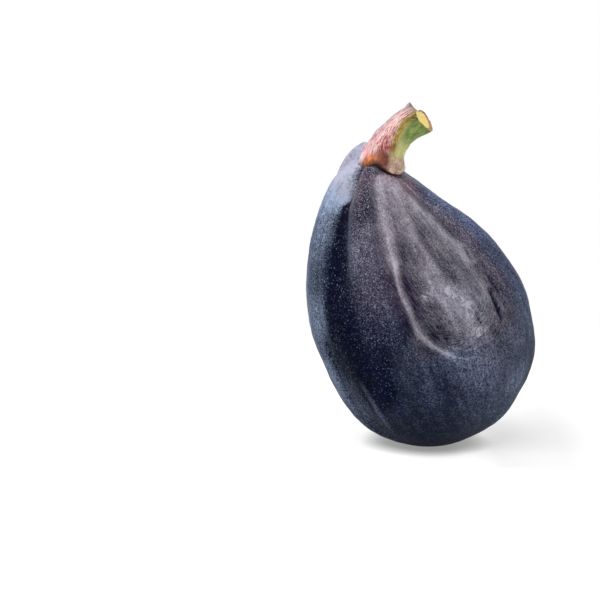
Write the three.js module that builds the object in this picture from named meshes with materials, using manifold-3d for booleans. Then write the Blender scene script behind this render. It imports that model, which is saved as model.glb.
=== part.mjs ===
// A fresh fig, picked with its stem, standing on the flat that its own weight presses into its base.
// Millimetres, +Z up, seen from the front along +Y. The origin is the bottom centre of the fig's bounding box.
//
// The fruit is modelled in a frame of its own, upright, with its ostiole at the bottom. A place on its skin is
// named by a station and an angle. The stations are the rows of OUTLINE, from 0 at the ostiole to 13 under the
// stem, with fractions between them. The angle goes round in degrees: 0 is the front and 90 the right. The
// whole fig is then leaned over and set down.
import * as THREE from "three";
import { mergeVertices } from "three/addons/utils/BufferGeometryUtils.js";
import Module from "manifold-3d";

// Driving dimensions
const FRUIT_LENGTH = 61.6; // ostiole to the foot of the stem
const FRUIT_RADIUS = 22; // at the widest, before lobes and ribs
const STEM_LENGTH = 13.5; // foot to cut end
const STEM_RADIUS = 3.4; // at its narrowest
const OSTIOLE_RADIUS = 3.4; // of the dimple that holds the scales
const OSTIOLE_DEPTH = 1.2;
const LEAN_LEFT = 14; // degrees
const LEAN_FORWARD = 8; // degrees
const REST_DEPTH = 1.05; // how far the base is pressed flat
const GAP = 0.3; // between touching pieces

// Height as a share of FRUIT_LENGTH; radius and sideways shift as shares of FRUIT_RADIUS; and the lean of the
// section to the right, in degrees.
const OUTLINE = [
  { height: 0.02, radius: 0.0, shift: 0.18, lean: -18 },
  { height: 0.03, radius: 0.235, shift: 0.16, lean: -16 },
  { height: 0.07, radius: 0.485, shift: 0.115, lean: -12 },
  { height: 0.148, radius: 0.737, shift: 0.062, lean: -7 },
  { height: 0.255, radius: 0.91, shift: 0.018, lean: -3 },
  { height: 0.379, radius: 0.995, shift: -0.015, lean: -1 },
  { height: 0.502, radius: 0.99, shift: -0.045, lean: 0 },
  { height: 0.626, radius: 0.895, shift: -0.086, lean: 0 },
  { height: 0.75, radius: 0.74, shift: -0.127, lean: 0 },
  { height: 0.857, radius: 0.555, shift: -0.145, lean: 4 },
  { height: 0.932, radius: 0.405, shift: -0.132, lean: 12 },
  { height: 0.975, radius: 0.28, shift: -0.105, lean: 20 },
  { height: 0.995, radius: 0.155, shift: -0.077, lean: 24 },
  { height: 1.0, radius: 0.0, shift: -0.055, lean: 26 },
];
const LAST_STATION = OUTLINE.length - 1;

// Swellings and hollows push the skin straight away from the core, which runs between these two shares of
// FRUIT_LENGTH.
const CORE_LOW = 0.3;
const CORE_HIGH = 0.78;

// Broad swellings and hollows: reach in stations, halfWidth in degrees, height as a share of FRUIT_RADIUS.
const SWELLINGS = [
  { station: 10.8, angle: -164, reach: 1.5, halfWidth: 34, height: 0.19 }, // the shoulder behind the stem
  { station: 8.4, angle: -96, reach: 1.8, halfWidth: 26, height: 0.03 },
  { station: 7.8, angle: -25, reach: 2.6, halfWidth: 16, height: 0.028 },
  { station: 7.4, angle: 22, reach: 1.7, halfWidth: 26, height: -0.045 }, // the flattened cheek
  { station: 4.6, angle: 22, reach: 1.2, halfWidth: 38, height: 0.02 },
  { station: 7.8, angle: 152, reach: 3, halfWidth: 26, height: 0.03 },
  { station: 6.5, angle: -112, reach: 3.2, halfWidth: 22, height: 0.018 },
];

// Ribs stand up and furrows sink along a path of [station, angle] points. Width and height are shares of
// FRUIT_RADIUS.
const RIBS = [
  { path: [[5.6, -4], [7.2, -5], [9.0, -2], [10.8, 0]], width: 0.14, height: 0.05 }, // the long front fold
  { path: [[6.6, -36], [8.2, -42], [9.6, -50], [11.4, -50]], width: 0.16, height: -0.075 },
  { path: [[6.6, 25], [8.0, 29], [10.4, 33]], width: 0.14, height: 0.03 },
  { path: [[5.6, 44], [7.2, 47], [8.6, 55], [11.2, 55]], width: 0.14, height: -0.035 },
  { path: [[2.6, -62], [5.2, -70], [9.1, -72]], width: 0.14, height: 0.028 },
  { path: [[3.0, -52], [5.6, -57], [8.0, -62]], width: 0.14, height: -0.022 },
  { path: [[2.6, 76], [6.5, 78], [11.2, 74]], width: 0.16, height: 0.03 },
  { path: [[3.0, 104], [6.5, 108], [11.4, 104]], width: 0.16, height: -0.035 },
  { path: [[2.6, 130], [6.5, 127], [11.4, 130]], width: 0.17, height: 0.035 },
  { path: [[3.0, 170], [7.0, 174], [11.0, 170]], width: 0.16, height: -0.035 },
  { path: [[2.6, -166], [6.5, -160], [9.8, -160]], width: 0.17, height: 0.03 },
  { path: [[2.9, -138], [6.5, -134], [9.6, -128]], width: 0.16, height: -0.035 },
  { path: [[3.2, -94], [6.5, -95], [9.4, -104]], width: 0.14, height: -0.025 },
];
const RIB_FADE = 0.9; // stations over which a rib dies out at each end

// The stem's path from inside its foot up to the cut, and the offset of each point from where the core ends, as
// shares of STEM_LENGTH. Its radius at those points is a share of STEM_RADIUS.
const STEM_PATH = [
  { offset: [-0.02, 0.04, -0.3], radius: 1.5 },
  { offset: [0.04, 0.0, 0.0], radius: 1.32 },
  { offset: [0.225, 0.0, 0.275], radius: 1.0 },
  { offset: [0.44, -0.07, 0.435], radius: 0.93 },
  { offset: [0.71, -0.18, 0.555], radius: 0.97 },
];
const STEM_SIDES = 3; // the section is a soft triangle
const STEM_SIDE_DEPTH = 0.07;
const STEM_LIP = 0.12; // how far the skin stands past the cut on one side, as a share of STEM_LENGTH
const STEM_LIP_ANGLE = -80;
const STEM_LIP_HALF_WIDTH = 40;

const SCALE_COUNT = 7; // lobes round the ostiole's rosette
const SCALE_LOBE = 0.08;
const ROSETTE_RADIUS = 0.74 * OSTIOLE_RADIUS;
const ROSETTE_THICKNESS = 0.9;

// Facets
const FRUIT_ROWS = 42;
const FRUIT_COLUMNS = 84;
const STEM_ROWS = 14;
const STEM_COLUMNS = 24;
const ROSETTE_ROWS = 4;
const ROSETTE_COLUMNS = 4 * SCALE_COUNT;

const wasm = await Module();
wasm.setup();

const radians = THREE.MathUtils.degToRad;
const smooth = THREE.MathUtils.smoothstep;

// A closed three.js geometry as a manifold-3d solid, for booleans.
function solidOf(geometry) {
  const bare = geometry.clone();
  bare.deleteAttribute("normal");
  bare.deleteAttribute("uv");
  const merged = mergeVertices(bare);
  const vertProperties = new Float32Array(merged.attributes.position.array);
  const triVerts = new Uint32Array(merged.index.array);
  return new wasm.Manifold(new wasm.Mesh({ numProp: 3, vertProperties, triVerts }));
}

function geometryOf(solid) {
  const mesh = solid.getMesh();
  const geometry = new THREE.BufferGeometry();
  geometry.setAttribute("position", new THREE.BufferAttribute(mesh.vertProperties, mesh.numProp));
  geometry.setIndex(new THREE.BufferAttribute(mesh.triVerts, 1));
  geometry.computeVertexNormals();
  return geometry;
}

// A closed surface of rings between two poles. point(row, angle, target) gives each point: row 0 and the last
// row are the poles, and the angle is in degrees.
function closedSurface(rows, columns, point) {
  const positions = [];
  const target = new THREE.Vector3();
  for (let row = 0; row <= rows; row += 1) {
    const isPole = row === 0 || row === rows;
    for (let column = 0; column < (isPole ? 1 : columns); column += 1) {
      point(row, (360 * column) / columns, target);
      positions.push(...target);
    }
  }
  const indexAt = (row, column) => {
    if (row === 0) return 0;
    if (row === rows) return 1 + (rows - 1) * columns;
    return 1 + (row - 1) * columns + (column % columns);
  };
  const indices = [];
  for (let row = 0; row < rows; row += 1) {
    for (let column = 0; column < columns; column += 1) {
      const [a, b] = [indexAt(row, column), indexAt(row, column + 1)];
      const [c, d] = [indexAt(row + 1, column), indexAt(row + 1, column + 1)];
      if (row > 0) indices.push(a, b, d);
      if (row < rows - 1) indices.push(a, d, c);
    }
  }
  const geometry = new THREE.BufferGeometry();
  geometry.setAttribute("position", new THREE.Float32BufferAttribute(positions, 3));
  geometry.setIndex(indices);
  return geometry;
}

// A smooth curve through a list of numbers, at a place counted in list entries. before and after continue the
// list past its ends.
function through(values, place, before = values[0], after = values[values.length - 1]) {
  const index = Math.min(Math.floor(place), values.length - 2);
  const f = place - index;
  const p0 = index === 0 ? before : values[index - 1];
  const [p1, p2] = [values[index], values[index + 1]];
  const p3 = index === values.length - 2 ? after : values[index + 2];
  const low = 2 * p1 + (p2 - p0) * f + (2 * p0 - 5 * p1 + 4 * p2 - p3) * f * f;
  return 0.5 * (low + (3 * p1 - p0 - 3 * p2 + p3) * f * f * f);
}

// One value of OUTLINE at a station. The radius runs on through zero at both poles.
function outline(key, station) {
  const values = OUTLINE.map((entry) => entry[key]);
  const sign = key === "radius" ? -1 : 1;
  return through(values, station, sign * values[1], sign * values[LAST_STATION - 1]);
}

// The shorter turn from one angle to another, in degrees.
function turn(from, to) {
  return THREE.MathUtils.euclideanModulo(to - from + 180, 360) - 180;
}

function angleOnPath(path, station) {
  const next = path.findIndex(([place]) => place >= station);
  if (next === 0) return path[0][1];
  if (next < 0) return path[path.length - 1][1];
  const [a, b] = [path[next - 1], path[next]];
  return a[1] + (turn(a[1], b[1]) * (station - a[0])) / (b[0] - a[0]);
}

// How far the skin stands out of the plain outline, whose radius there is given.
function relief(station, angle, radius) {
  let height = 0;
  for (const swelling of SWELLINGS) {
    const up = (station - swelling.station) / swelling.reach;
    const round = turn(swelling.angle, angle) / swelling.halfWidth;
    height += swelling.height * Math.exp(-up * up - round * round);
  }
  for (const rib of RIBS) {
    const [low, high] = [rib.path[0][0], rib.path[rib.path.length - 1][0]];
    const fadeIn = smooth(station, low - RIB_FADE, low + RIB_FADE);
    const fadeOut = 1 - smooth(station, high - RIB_FADE, high + RIB_FADE);
    const sideways = radians(turn(angleOnPath(rib.path, station), angle)) * radius;
    const across = sideways / (rib.width * FRUIT_RADIUS);
    height += rib.height * fadeIn * fadeOut * Math.exp(-across * across);
  }
  const fromOstiole = station < LAST_STATION / 2 ? radius / OSTIOLE_RADIUS : Infinity;
  return height * FRUIT_RADIUS - OSTIOLE_DEPTH * Math.exp(-fromOstiole * fromOstiole);
}

// A point of the fruit's skin, in the fruit's frame. lift moves the whole skin outward.
function skinPoint(station, angle, lift = 0, target = new THREE.Vector3()) {
  const radius = FRUIT_RADIUS * outline("radius", station);
  const shift = FRUIT_RADIUS * outline("shift", station);
  const lean = radians(outline("lean", station));
  const side = radius * Math.sin(radians(angle));
  const height = FRUIT_LENGTH * outline("height", station);
  target.set(shift + side * Math.cos(lean), -radius * Math.cos(radians(angle)), height - side * Math.sin(lean));
  const low = new THREE.Vector3(0, 0, CORE_LOW * FRUIT_LENGTH);
  const high = new THREE.Vector3(-0.1 * FRUIT_RADIUS, 0, CORE_HIGH * FRUIT_LENGTH);
  const core = new THREE.Line3(low, high).closestPointToPoint(target, true, new THREE.Vector3());
  const outward = target.clone().sub(core).normalize();
  return target.addScaledVector(outward, relief(station, angle, radius) + lift);
}

function fruitGeometry(lift = 0) {
  const point = (row, angle, target) => skinPoint((LAST_STATION * row) / FRUIT_ROWS, angle, lift, target);
  return closedSurface(FRUIT_ROWS, FRUIT_COLUMNS, point);
}

// The stem's surface starts inside the fruit, runs up its side to the cut's rim and in to the cut's centre.
function stemGeometry() {
  const foot = skinPoint(LAST_STATION, 0);
  const points = STEM_PATH.map(({ offset }) => new THREE.Vector3(...offset).multiplyScalar(STEM_LENGTH).add(foot));
  const path = new THREE.CatmullRomCurve3(points, false, "catmullrom");
  const radii = STEM_PATH.map((entry) => entry.radius * STEM_RADIUS);
  const back = new THREE.Vector3(0, 1, 0);
  const right = new THREE.Vector3();
  const front = new THREE.Vector3();
  const point = (row, angle, target) => {
    const t = THREE.MathUtils.clamp((row - 1) / (STEM_ROWS - 2), 0, 1);
    const tangent = path.getTangent(t);
    right.crossVectors(back, tangent).normalize();
    front.crossVectors(right, tangent).normalize();
    const isPole = row === 0 || row === STEM_ROWS;
    const sides = 1 + STEM_SIDE_DEPTH * Math.cos(radians(STEM_SIDES * angle));
    const radius = isPole ? 0 : through(radii, t * (radii.length - 1)) * sides;
    const fromLip = turn(STEM_LIP_ANGLE, angle) / STEM_LIP_HALF_WIDTH;
    const lip = row === STEM_ROWS - 1 ? STEM_LIP * STEM_LENGTH * Math.exp(-fromLip * fromLip) : 0;
    target.copy(path.getPoint(t));
    target.addScaledVector(right, radius * Math.sin(radians(angle)));
    target.addScaledVector(front, radius * Math.cos(radians(angle)));
    target.addScaledVector(tangent, lip);
  };
  return closedSurface(STEM_ROWS, STEM_COLUMNS, point);
}

// The closed scales of the ostiole, as one lobed lens that lies in its dimple.
function rosetteGeometry() {
  const point = (row, angle, target) => {
    const polar = (Math.PI * row) / ROSETTE_ROWS;
    const round = radians(angle);
    const radius = ROSETTE_RADIUS * (1 + SCALE_LOBE * Math.cos(SCALE_COUNT * round)) * Math.sin(polar);
    const height = (-ROSETTE_THICKNESS / 2) * Math.cos(polar);
    target.set(radius * Math.sin(round), -radius * Math.cos(round), height);
  };
  const geometry = closedSurface(ROSETTE_ROWS, ROSETTE_COLUMNS, point);
  const inward = skinPoint(0, 0, -1).sub(skinPoint(0, 0));
  const bed = skinPoint(0, 0, GAP + ROSETTE_THICKNESS / 2);
  geometry.applyQuaternion(new THREE.Quaternion().setFromUnitVectors(new THREE.Vector3(0, 0, 1), inward));
  return geometry.translate(bed.x, bed.y, bed.z);
}

// The fig leans, and its lowest part is pressed flat on the ground.
const fig = new THREE.Group();
fig.rotation.set(radians(LEAN_FORWARD), radians(-LEAN_LEFT), 0, "YXZ");
fig.updateMatrixWorld();
const leaning = new THREE.Box3().setFromBufferAttribute(
  fruitGeometry().applyMatrix4(fig.matrixWorld).attributes.position,
);
fig.position.z = -leaning.min.z - REST_DEPTH;
fig.updateMatrixWorld();

const ground = new THREE.BoxGeometry(4 * FRUIT_LENGTH, 4 * FRUIT_LENGTH, FRUIT_LENGTH);
ground.translate(0, 0, -FRUIT_LENGTH / 2);
ground.applyMatrix4(fig.matrixWorld.clone().invert());

const clearance = solidOf(fruitGeometry(GAP));
const pieces = [
  {
    name: "fruit",
    solid: solidOf(fruitGeometry()).subtract(solidOf(ground)),
    material: { color: 0x2a2c3c, roughness: 0.45, metalness: 0 },
  },
  {
    name: "stem",
    solid: solidOf(stemGeometry()).subtract(clearance),
    material: { color: 0xa08a5c, roughness: 0.7, metalness: 0 },
  },
  {
    name: "ostiole_scales",
    solid: solidOf(rosetteGeometry()).subtract(clearance),
    material: { color: 0x8c6a3e, roughness: 0.8, metalness: 0 },
  },
];
for (const { name, solid, material } of pieces) {
  const mesh = new THREE.Mesh(geometryOf(solid), new THREE.MeshStandardMaterial(material));
  mesh.name = name;
  fig.add(mesh);
}

// The origin goes to the bottom centre of the whole fig's box.
const centre = new THREE.Box3().setFromObject(fig, true).getCenter(new THREE.Vector3());
fig.position.x -= centre.x;
fig.position.y -= centre.y;

const object = new THREE.Group();
object.add(fig);
export default object;
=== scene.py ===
import bpy
import math
import numpy as np
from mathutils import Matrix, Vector, noise


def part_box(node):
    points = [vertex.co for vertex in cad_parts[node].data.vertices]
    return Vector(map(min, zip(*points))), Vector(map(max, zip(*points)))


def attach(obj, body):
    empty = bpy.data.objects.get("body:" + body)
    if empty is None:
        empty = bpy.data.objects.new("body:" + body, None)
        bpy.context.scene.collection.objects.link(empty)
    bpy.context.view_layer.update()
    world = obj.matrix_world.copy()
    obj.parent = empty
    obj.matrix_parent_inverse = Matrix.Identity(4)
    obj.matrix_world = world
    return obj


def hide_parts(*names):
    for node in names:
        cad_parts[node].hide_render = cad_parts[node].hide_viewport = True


# The looks of a fresh fig. The fruit's skin, the stem and the scales of the ostiole are made again here at a
# fine scale, over the same curves as their solids, and fitted to the solids' boxes.
#
# Shapes are worked out in millimetres in the fruit's own frame, upright, with its ostiole at the bottom. A
# place on the skin is a station, from 0 at the ostiole to 13 under the stem, and an angle in degrees, 0 at
# the front and 90 at the right. The fig is then leaned over, set down and brought into the model's frame.

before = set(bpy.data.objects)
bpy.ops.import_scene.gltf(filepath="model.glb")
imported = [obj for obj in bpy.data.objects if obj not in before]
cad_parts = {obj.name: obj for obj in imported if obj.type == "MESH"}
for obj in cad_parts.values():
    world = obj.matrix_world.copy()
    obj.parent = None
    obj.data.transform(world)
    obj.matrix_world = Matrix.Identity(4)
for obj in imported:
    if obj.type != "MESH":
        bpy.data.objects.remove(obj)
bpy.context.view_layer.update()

MM = 0.001

# -------- the fruit's plain form, as its solid has it
FRUIT_LENGTH = 61.6
FRUIT_RADIUS = 22.0
STEM_LENGTH = 13.5
STEM_RADIUS = 3.4
OSTIOLE_RADIUS = 3.4
OSTIOLE_DEPTH = 1.2
LEAN_LEFT = 14
LEAN_FORWARD = 8
REST_DEPTH = 1.05

# Height as a share of FRUIT_LENGTH, radius and sideways shift as shares of FRUIT_RADIUS, lean in degrees.
OUTLINE = np.array([
    (0.02, 0.0, 0.18, -18),
    (0.03, 0.235, 0.16, -16),
    (0.07, 0.485, 0.115, -12),
    (0.148, 0.737, 0.062, -7),
    (0.255, 0.91, 0.018, -3),
    (0.379, 0.995, -0.015, -1),
    (0.502, 0.99, -0.045, 0),
    (0.626, 0.895, -0.086, 0),
    (0.75, 0.74, -0.127, 0),
    (0.857, 0.555, -0.145, 4),
    (0.932, 0.405, -0.132, 12),
    (0.975, 0.28, -0.105, 20),
    (0.995, 0.155, -0.077, 24),
    (1.0, 0.0, -0.055, 26),
])
LAST_STATION = len(OUTLINE) - 1
CORE = np.array([(0, 0, 0.3 * FRUIT_LENGTH), (-0.1 * FRUIT_RADIUS, 0, 0.78 * FRUIT_LENGTH)])

# Broad swellings and hollows: station, angle, reach in stations, half-width in degrees, height by radius.
SWELLINGS = [
    (10.8, -164, 1.5, 34, 0.19),
    (8.4, -96, 1.8, 26, 0.03),
    (7.8, -25, 2.6, 16, 0.028),
    (7.4, 22, 1.7, 26, -0.045),
    (4.6, 22, 1.2, 38, 0.02),
    (7.8, 152, 3, 26, 0.03),
    (6.5, -112, 3.2, 22, 0.018),
]

# Ribs and furrows: the (station, angle) points of a path, then width and height by radius.
RIBS = [
    ([(5.6, -4), (7.2, -5), (9.0, -2), (10.8, 0)], 0.14, 0.05),
    ([(6.6, -36), (8.2, -42), (9.6, -50), (11.4, -50)], 0.16, -0.075),
    ([(6.6, 25), (8.0, 29), (10.4, 33)], 0.14, 0.03),
    ([(5.6, 44), (7.2, 47), (8.6, 55), (11.2, 55)], 0.14, -0.035),
    ([(2.6, -62), (5.2, -70), (9.1, -72)], 0.14, 0.028),
    ([(3.0, -52), (5.6, -57), (8.0, -62)], 0.14, -0.022),
    ([(2.6, 76), (6.5, 78), (11.2, 74)], 0.16, 0.03),
    ([(3.0, 104), (6.5, 108), (11.4, 104)], 0.16, -0.035),
    ([(2.6, 130), (6.5, 127), (11.4, 130)], 0.17, 0.035),
    ([(3.0, 170), (7.0, 174), (11.0, 170)], 0.16, -0.035),
    ([(2.6, -166), (6.5, -160), (9.8, -160)], 0.17, 0.03),
    ([(2.9, -138), (6.5, -134), (9.6, -128)], 0.16, -0.035),
    ([(3.2, -94), (6.5, -95), (9.4, -104)], 0.14, -0.025),
]
RIB_FADE = 0.9

# The stem: offsets from the top of the fruit by STEM_LENGTH, then radius by STEM_RADIUS.
STEM_PATH = np.array([
    (-0.02, 0.04, -0.3, 1.5),
    (0.04, 0.0, 0.0, 1.32),
    (0.225, 0.0, 0.275, 1.0),
    (0.44, -0.07, 0.435, 0.93),
    (0.71, -0.18, 0.555, 0.97),
])
STEM_SIDES = 3
STEM_SIDE_DEPTH = 0.07

# -------- fine form, which the solids leave out
# Folds and furrows in the skin: (station, angle) places, width to the left and to the right and height in
# millimetres, how much more powdery they are than the skin about them, which also paints a highlight on
# crests and shade in furrows and dents, and the share of the length over which each end dies out.
FOLDS = [
    # the long front fold, which turns right at its foot
    ([(11.5, 4), (10.8, 7), (10.1, 5), (9.5, 2.5), (9.0, 1.5), (8.7, 1), (8.3, -1.5), (7.9, -1.5),
      (7.6, -3)],
     0.75, 1.5, 0.4, 0.36, 0.12),
    ([(8.2, -1.5), (7.9, -1.5), (7.6, -3), (7.3, -3.5), (7.1, -3), (6.8, -2.5), (6.5, -2.5), (6.2, -2),
      (5.9, 1), (5.6, 6), (5.4, 10), (5.2, 14)],
     0.5, 0.4, 0.5, 0.55, 0.12),
    ([(8.9, 0), (8.5, -1), (8.2, -2), (7.7, -2.5), (7.4, -4), (7.1, -4), (6.7, -3), (6.3, -3)],
     0.2, 0.22, 0.12, 0.2, 0.3),
    # the groove at its right
    ([(9.9, 10), (9.3, 11), (8.6, 10), (8.2, 8), (7.9, 5)], 0.8, 1.0, -0.22, -0.08, 0.25),
    ([(8.2, 8), (7.9, 5), (7.5, 2), (7.1, 1), (6.8, 1.5), (6.5, 2), (6.1, 4), (5.8, 8)],
     0.6, 1.2, -0.4, -0.09, 0.15),
    # the broad turn from the flat cheek to the belly
    ([(6.0, -2), (5.55, 8), (5.4, 17), (5.5, 27), (5.55, 38), (5.9, 50), (6.4, 58)],
     2.6, 3.2, 0.55, 0.0, 0.25),
    # the left ridge of the cheek, narrow at the top and broad below
    ([(10.6, 26), (10.3, 24), (9.6, 20), (9.0, 20), (8.7, 20), (8.3, 18), (8.0, 18)],
     0.7, 0.7, 0.25, 0.2, 0.2),
    ([(8.4, 17), (7.8, 18), (7.4, 17.5), (7.1, 18), (6.8, 20), (6.4, 23), (6.1, 24), (5.7, 26)],
     1.5, 1.3, 0.35, 0.24, 0.15),
    # the furrow in the middle of the cheek
    ([(9.8, 30), (9.4, 30), (9.0, 29), (8.6, 28), (8.2, 26), (7.9, 25), (7.7, 27), (7.4, 28), (7.1, 30),
      (6.8, 31)],
     0.7, 0.9, -0.35, -0.13, 0.15),
    ([(8.0, 29), (7.6, 34), (7.4, 39), (7.1, 43)], 1.0, 1.1, -0.1, -0.05, 0.3),
    # the right ridge of the cheek
    ([(9.9, 32), (9.6, 33), (9.2, 36), (8.7, 38), (8.3, 42), (8.0, 45), (7.7, 47), (7.4, 47), (7.0, 48)],
     1.3, 1.2, 0.35, 0.22, 0.2),
    ([(7.2, 49), (6.8, 48), (6.4, 44), (6.1, 40)], 1.2, 1.2, 0.1, 0.14, 0.3),
    # short dents at the cheek's right
    ([(6.3, 32), (6.1, 31), (5.95, 31.5), (5.8, 31)], 0.4, 0.5, -0.34, -0.42, 0.35),
    ([(6.6, 49), (6.3, 48), (6.0, 46), (5.65, 43.5)], 0.5, 0.45, -0.44, -0.37, 0.25),
    ([(7.0, 53), (6.7, 53), (6.4, 53), (6.1, 52), (5.9, 51)], 0.25, 0.3, -0.16, -0.15, 0.3),
    # hair-thin lines at the foot of the fold
    ([(5.6, 6), (5.4, 11), (5.2, 17), (5.1, 24)], 0.22, 0.22, 0.1, 0.25, 0.35),
    ([(5.5, 6), (5.2, 11), (5.0, 15), (4.8, 20)], 0.2, 0.2, 0.08, 0.18, 0.35),
    ([(5.7, 9), (5.55, 14), (5.4, 20), (5.4, 27)], 0.2, 0.2, 0.08, 0.2, 0.35),
    ([(7.7, 53), (7.5, 52), (7.3, 50.5)], 0.3, 0.3, -0.25, -0.3, 0.4),
    # the furrow that runs down from the stem's right, and the thin crest beside it
    ([(10.9, 50), (9.8, 60), (9.0, 63), (8.4, 65), (8.0, 64), (7.3, 63), (6.4, 60)],
     1.4, 1.6, -0.45, 0.0, 0.2),
    ([(10.9, 56), (10.4, 55), (10.1, 58), (9.4, 60)], 0.25, 0.3, 0.25, 0.35, 0.3),
    # the edge of the shoulder, under the stem's left, with painted shade at its right
    ([(12.3, -60), (11.7, -54), (11.0, -49), (10.5, -44), (10.0, -47), (9.6, -53)],
     0.5, 1.6, -0.5, -0.3, 0.2),
    # the hollow at the left of the front face
    ([(11.2, -52), (10.2, -56), (9.2, -48), (8.4, -45), (7.6, -45), (6.8, -47)], 1.6, 2.2, -0.7, 0.0, 0.25),
    # narrow ribs and furrows down the left
    ([(9.3, -66), (8.4, -60), (7.4, -60), (6.4, -56), (5.4, -55)], 0.9, 1.1, 0.35, 0.0, 0.3),
    ([(7.6, -66), (6.8, -64), (6.2, -63), (5.4, -60), (4.6, -60), (3.6, -60)], 0.5, 0.4, -0.35, -0.15, 0.3),
    ([(5.6, -66), (4.9, -63.5), (4.4, -62), (3.6, -61)], 0.3, 0.35, 0.25, 0.2, 0.3),
    ([(5.4, -42), (4.9, -41), (4.5, -40), (3.8, -42), (3.3, -44)], 0.5, 0.7, 0.2, 0.12, 0.3),
    ([(5.8, -3), (5.2, -4), (4.6, -6), (3.8, -12)], 0.6, 0.9, 0.14, 0.08, 0.35),
]

# Small swellings and dents of the outline: station, angle, reach and lift in millimetres.
TRIMS = [
    (5.2, -82, 6, -0.75), (3.6, -74, 4, 0.2), (2.2, 48, 5.5, 1.0), (4.9, 84, 4, -0.35), (7.4, 84, 7, 0.5),
    (11.2, -120, 3.5, -1.1), (11.6, -140, 3, -0.8), (11.7, -172, 2.4, 1.45), (9.0, 86, 7, -0.3),
    (10.4, 78, 5, -0.4), (2.4, -72, 4, -0.25),
]

# A mound under the stem: station, angle, reach in stations, half-width in degrees, height in millimetres.
MOUNDS = [(12.3, -14, 0.5, 30, 0.55)]
LUMPS = [(0.16, 7.0, 0.0), (0.05, 1.8, 3.0)]  # height and size in millimetres, and their noise's seed

# How powdery the skin is about a place, mostly from 0 to 1, with painted light and shade laid in: a painted
# sheen on the lit cheek, a painted highlight on the shoulder, and painted shade in the hollow and at the
# stem's foot. Columns: station, angle, reach in millimetres, amount.
TONES = [
    # the cheek, its powder partly a painted sheen
    (10.3, 24, 3, 0.6), (9.5, 30, 3, 0.46), (9.4, 12, 3, 0.38), (8.6, 8, 2.5, 0.36), (8.0, 8, 2.5, 0.2),
    (8.6, 34, 2.5, 0.3), (8.0, 36, 2.5, 0.34), (7.4, 36, 3, 0.29), (7.5, 46, 2, 0.42), (7.2, 18, 2.5, 0.34),
    (6.6, 26, 2, 0.52), (6.1, 22, 2, 0.38), (6.4, 40, 2.6, 0.33), (7.2, 3, 2, 0.1), (6.5, 4, 2, 0.16),
    (6.0, 8, 1.5, 0.08), (5.8, 29, 1.6, 0.38), (5.6, 24, 1.5, 0.4), (6.1, -2, 1.2, 0.4),
    (6.4, 29, 1.3, 0.57), (5.4, 14, 2, 0.2), (5.4, 28, 2, 0.22), (5.3, 42, 3, 0.18),
    # the front face and the hollow beside it, painted darker in the hollow as shade
    (10.8, -22, 2.5, -0.06), (10.8, -8, 1.5, 0.1), (9.6, -24, 3, 0.0), (9.5, -8, 2, -0.03),
    (8.4, -20, 3, 0.15), (8.8, -34, 2, 0.02), (8.4, -10, 2, -0.02), (7.6, -20, 3, 0.07),
    (7.6, -10, 2, 0.04), (7.2, -34, 3, -0.01), (6.9, -12, 3, 0.05), (6.3, -14, 4, 0.02),
    (6.2, -30, 4, -0.03), (5.8, -6, 2.5, 0.08), (9.3, -45, 2.5, 0.02), (8.0, -46, 2.5, 0.02),
    (6.9, -46, 2, -0.08), (6.2, -46, 2, -0.1), (5.6, -46, 4, -0.03),
    # the belly
    (5.2, -8, 3, 0.06), (4.8, 24, 4, 0.27), (4.5, 49, 4, 0.15), (4.8, 53, 1.8, 0.26), (3.8, 48, 3, 0.38),
    (3.8, 15, 3, 0.14), (3.2, 28, 3, 0.2), (4.2, 0, 4, 0.04), (3.0, 25, 5, 0.1), (2.4, 45, 4, 0.17),
    (3.4, -20, 6, 0.025), (4.9, -40, 4, -0.02), (2.0, 0, 7, 0.02), (3.6, -50, 4, 0.0),
    # the left side
    (7.9, -60, 3, 0.08), (6.4, -70, 3, 0.42), (4.9, -70, 3, 0.39), (8.6, -72, 4, 0.32), (6.4, -90, 5, 0.28),
    (4.0, -64, 3, 0.13), (6.0, -56, 2.5, 0.02), (5.0, -56, 2.5, 0.09),
    # the right side
    (8.3, 62, 2.5, 0.08), (7.4, 64, 2.5, 0.06), (6.8, 60, 3, 0.08), (6.5, 79, 3, 0.16), (5.4, 72, 3, 0.19),
    (9.4, 58, 2, 0.06), (8.4, 76, 2, 0.3), (9.0, 84, 3.5, 0.34), (10.3, 78, 3, 0.1), (7.6, 79, 3, 0.24),
    (8.0, 100, 5, 0.3),
    # the shoulder behind the stem's left, with a painted highlight where the tones pass 1
    (11.3, -100, 4, 1.2), (11.6, -160, 4, 0.9), (10.4, -76, 4, 1.3), (10.6, -62, 1.5, 0.9),
    (10.7, -53, 1.3, 0.95), (10.8, -130, 5, 0.9), (9.6, -95, 4, 0.6),
    # under the stem, with painted shade where the stem's left foot meets the skin
    (11.9, 12, 2.5, 0.3), (11.4, 24, 2, 0.5), (11.3, 60, 2.5, 0.22), (11.3, 100, 5, 0.45),
    (11.6, -14, 2, 0.0), (11.7, -40, 2.5, -0.08), (10.9, -34, 2.5, -0.05), (10.4, -39, 1.6, -0.05),
    (12.4, -50, 1.5, -0.15), (11.6, -28, 2, -0.08), (11.1, 38, 1.5, 0.75), (10.1, 42, 1.6, 0.08),
    (10.5, 52, 1.3, 0.02), (11.5, 50, 1.2, 0.3),
    # the back and the underside
    (9.0, 130, 7, 0.3), (7.0, 115, 7, 0.16), (7.0, 150, 8, 0.16), (5.0, 120, 8, 0.08), (9.0, 180, 7, 0.34),
    (7.0, 180, 8, 0.16), (5.0, 180, 8, 0.06), (8.6, -150, 7, 0.3), (6.5, -140, 8, 0.14),
    (8.2, -115, 6, 0.3), (6.5, -118, 8, 0.16), (4.5, -110, 8, 0.06), (3.0, 90, 8, 0.05),
    (3.0, 180, 9, 0.03), (3.0, -90, 8, 0.05),
]

BARE_WEIGHT = 0.004  # where no tone reaches, the skin is as powdery as BARE_TONE
BARE_TONE = 0.12

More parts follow.
